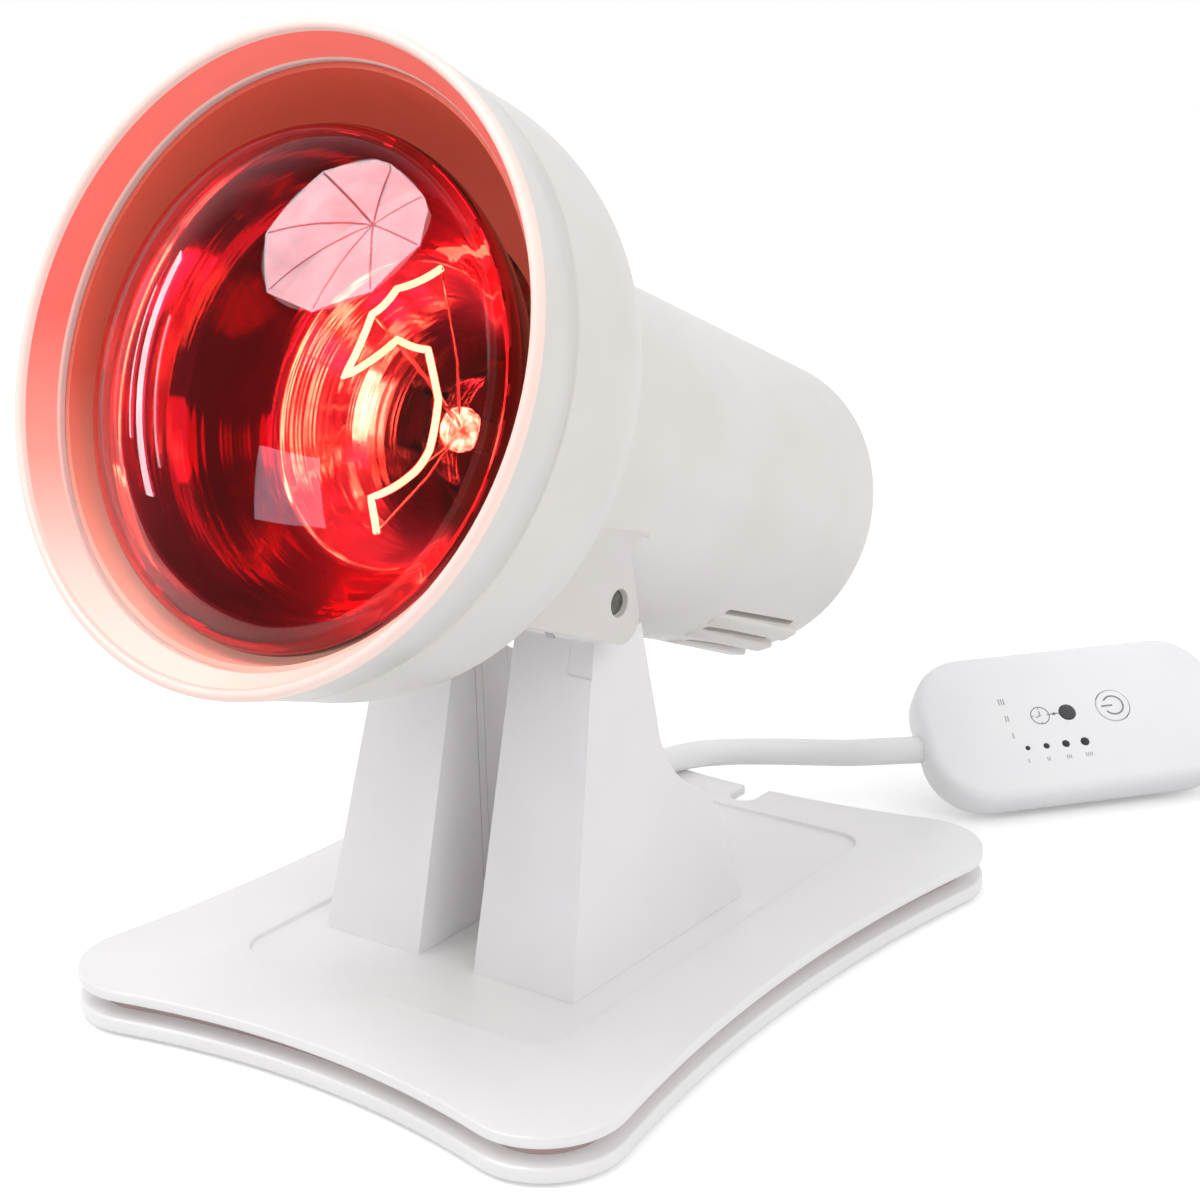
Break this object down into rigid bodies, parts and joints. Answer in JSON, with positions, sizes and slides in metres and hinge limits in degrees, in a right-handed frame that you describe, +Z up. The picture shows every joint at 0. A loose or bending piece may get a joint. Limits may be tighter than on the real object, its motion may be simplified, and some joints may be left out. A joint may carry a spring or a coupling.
{
  "type": "infrared heat therapy lamp",
  "caption": "Table heat lamp: reflector bulb in a bell hood, tilting between the legs of a weighted base, with a timer control in its lead.",
  "frame": {"origin": "middle of the base's underside, on the table", "axes": "+Z up, the hood looks towards -Y, +X is the lamp's right-hand side seen from the front camera"},
  "size_m": [0.3055, 0.3213, 0.1973],
  "materials": {
    "white_plastic": "satin moulded",
    "hood_plastic": "fine matt moulded",
    "control_plastic": "satin",
    "dark_plastic": "matt",
    "heat_shield_metal": "satin, lit red by the bulb",
    "bare_steel": "zinc plated",
    "pin_steel": "plain",
    "foot_rubber": "matt",
    "lead_pvc": "soft satin",
    "holder_ceramic": "glazed",
    "contact_brass": "plain",
    "cap_metal": "satin",
    "insulator_glass": "glossy",
    "ruby_glass": "clear ruby",
    "mirror_coating": "mirror",
    "clear_glass": "clear",
    "wire_metal": "drawn wire",
    "filament_glow": "glowing tungsten",
    "board_green": "solder mask",
    "indicator_dark": "smoked",
    "plug_steel": "nickel"
  },
  "bodies": {
    "stand": {"base_cover": "white_plastic", "base_tray": "white_plastic", "ballast_plate": "bare_steel", "rubber_feet": "foot_rubber", "base_screws": "bare_steel", "leg_shell_left": "white_plastic", "leg_shell_right": "white_plastic", "leg_cover_left": "white_plastic", "leg_cover_right": "white_plastic", "support_arm_left": "bare_steel", "support_arm_right": "bare_steel", "hinge_pin": "pin_steel", "friction_discs": "bare_steel", "spacer_sleeve": "bare_steel", "control_bottom": "control_plastic", "control_top": "control_plastic", "control_foot": "control_plastic", "control_board": "board_green", "control_screws": "bare_steel", "indicator_lights": "indicator_dark", "lamp_strain_relief": "lead_pvc", "lead_to_control": "lead_pvc", "mains_strain_relief": "lead_pvc", "mains_lead": "lead_pvc", "mains_coil": "lead_pvc", "mains_tail": "lead_pvc", "cord_tie": "dark_plastic", "plug_body": "lead_pvc", "plug_pins": "plug_steel"},
    "head": {"hinge_cheek_left": "hood_plastic", "hinge_cheek_right": "hood_plastic", "front_rim": "hood_plastic", "hood_shell": "hood_plastic", "heat_shield": "heat_shield_metal", "body_shell": "hood_plastic", "holder_bracket": "bare_steel", "holder_screws": "bare_steel", "lamp_holder": "holder_ceramic", "holder_thread": "contact_brass", "holder_contact": "contact_brass", "bulb_glass": "ruby_glass", "bulb_mirror": "mirror_coating", "bulb_cap": "cap_metal", "cap_insulator": "insulator_glass", "cap_contact": "cap_metal", "filament_stem": "clear_glass", "filament_supports": "wire_metal", "filament": "filament_glow"},
    "power_key": {"power_button": "control_plastic"},
    "timer_key": {"timer_button": "dark_plastic"}
  },
  "joints": [
    {"name": "head_tilt", "type": "hinge", "parent": "stand", "child": "head", "pos_m": [0, -0.0187, 0.0869], "axis": [1, 0, 0], "range_deg": [-13, 35]},
    {"name": "power_press", "type": "slide", "parent": "stand", "child": "power_key", "axis": [-0.4924, 0.4132, -0.766], "range_m": [0, 0.0006], "stiffness_N_per_m": 900, "springref_m": -0.0004},
    {"name": "timer_press", "type": "slide", "parent": "stand", "child": "timer_key", "axis": [-0.4924, 0.4132, -0.766], "range_m": [0, 0.0006], "stiffness_N_per_m": 900, "springref_m": -0.0004}
  ]
}
